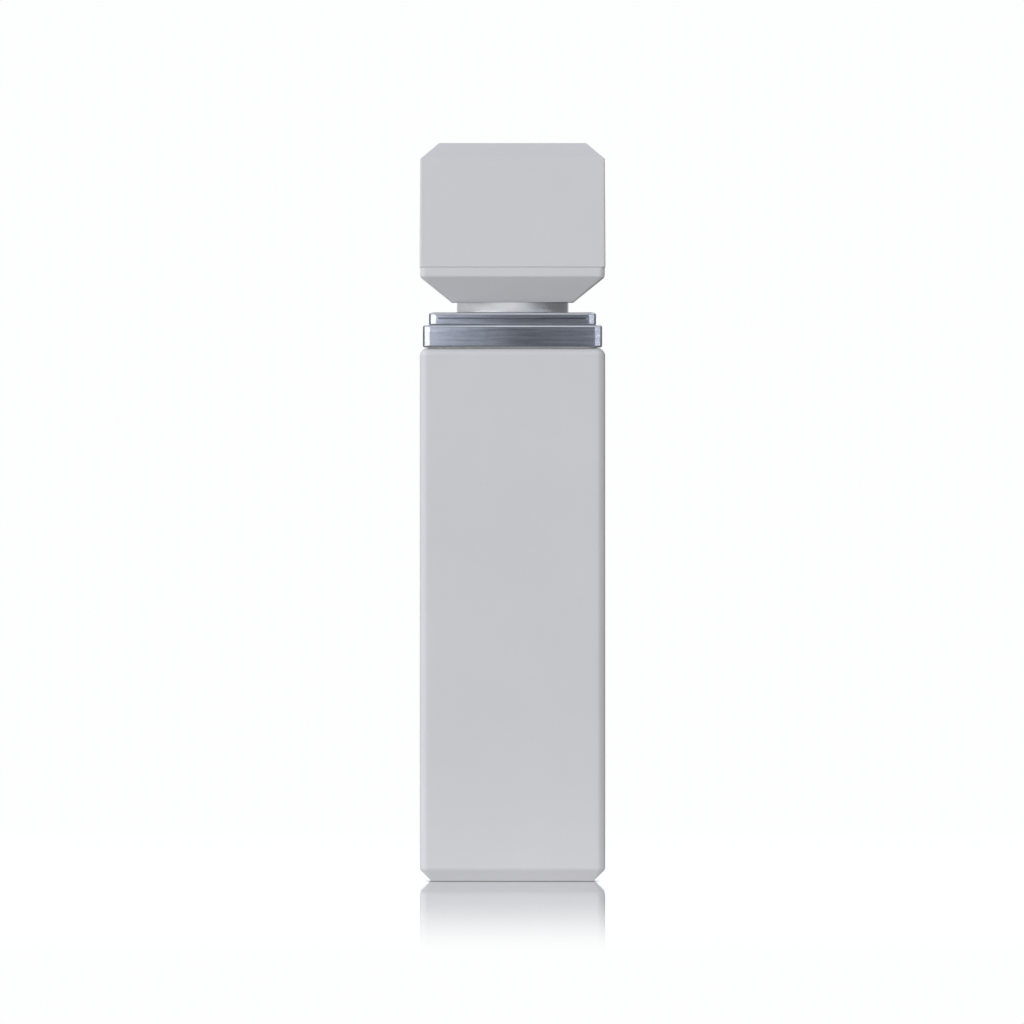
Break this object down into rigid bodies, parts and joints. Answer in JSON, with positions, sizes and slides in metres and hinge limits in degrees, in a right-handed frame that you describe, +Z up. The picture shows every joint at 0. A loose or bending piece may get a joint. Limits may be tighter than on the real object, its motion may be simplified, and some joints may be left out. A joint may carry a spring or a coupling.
{
  "type": "perfume bottle",
  "caption": "Tall square spray bottle in matt pale grey lacquered glass with a stepped steel collar, a crimped pump and a bevelled pull-off cap.",
  "frame": {"origin": "centre of the foot's flat face, on the surface the bottle stands on", "axes": "+Z up along the bottle, -Y the side that the spray leaves from, +X to the right seen from that side"},
  "size_m": [0.032, 0.032, 0.1274],
  "materials": {
    "lacquered_glass": "opaque matt pale grey lacquer outside",
    "cap_lacquer": "fine matt pale grey lacquer",
    "collar_steel": "brushed faces, polished edges",
    "satin_aluminium": "satin anodised",
    "white_plastic": "moulded",
    "natural_plastic": "natural, slightly translucent",
    "seal_rubber": "matt",
    "bright_steel": "bright"
  },
  "bodies": {
    "bottle": {"glass_bottle": "lacquered_glass", "shoulder_pad": "natural_plastic", "lower_collar_plate": "collar_steel", "upper_collar_plate": "collar_steel", "neck_sleeve": "satin_aluminium", "sleeve_insert": "white_plastic", "crimp_ferrule": "satin_aluminium", "neck_gasket": "seal_rubber", "pump_housing": "natural_plastic", "dip_tube": "natural_plastic", "return_spring": "bright_steel", "stem_seal": "seal_rubber", "stem_guide": "natural_plastic"},
    "valve_ball": {"inlet_ball": "bright_steel"},
    "stem": {"pump_stem": "natural_plastic", "piston": "natural_plastic"},
    "button": {"actuator": "white_plastic", "nozzle_insert": "white_plastic", "actuator_shell": "satin_aluminium"},
    "cap": {"cap_shell": "cap_lacquer", "cap_base": "cap_lacquer", "cap_liner": "white_plastic", "cap_weight": "bright_steel"}
  },
  "joints": [
    {"name": "cap_lift", "type": "slide", "parent": "bottle", "child": "cap", "axis": [0, 0, 1], "range_m": [0, 0.04]},
    {"name": "pump_press", "type": "slide", "parent": "bottle", "child": "stem", "axis": [0, 0, -1], "range_m": [0, 0.004], "stiffness_N_per_m": 1250, "springref_m": -0.004, "deforming": ["return_spring"]},
    {"name": "button_turn", "type": "hinge", "parent": "stem", "child": "button", "pos_m": [0, 0, 0.108], "axis": [0, 0, 1], "continuous": true},
    {"name": "ball_lift", "type": "slide", "parent": "bottle", "child": "valve_ball", "axis": [0, 0, 1], "range_m": [0, 0.0006]}
  ]
}
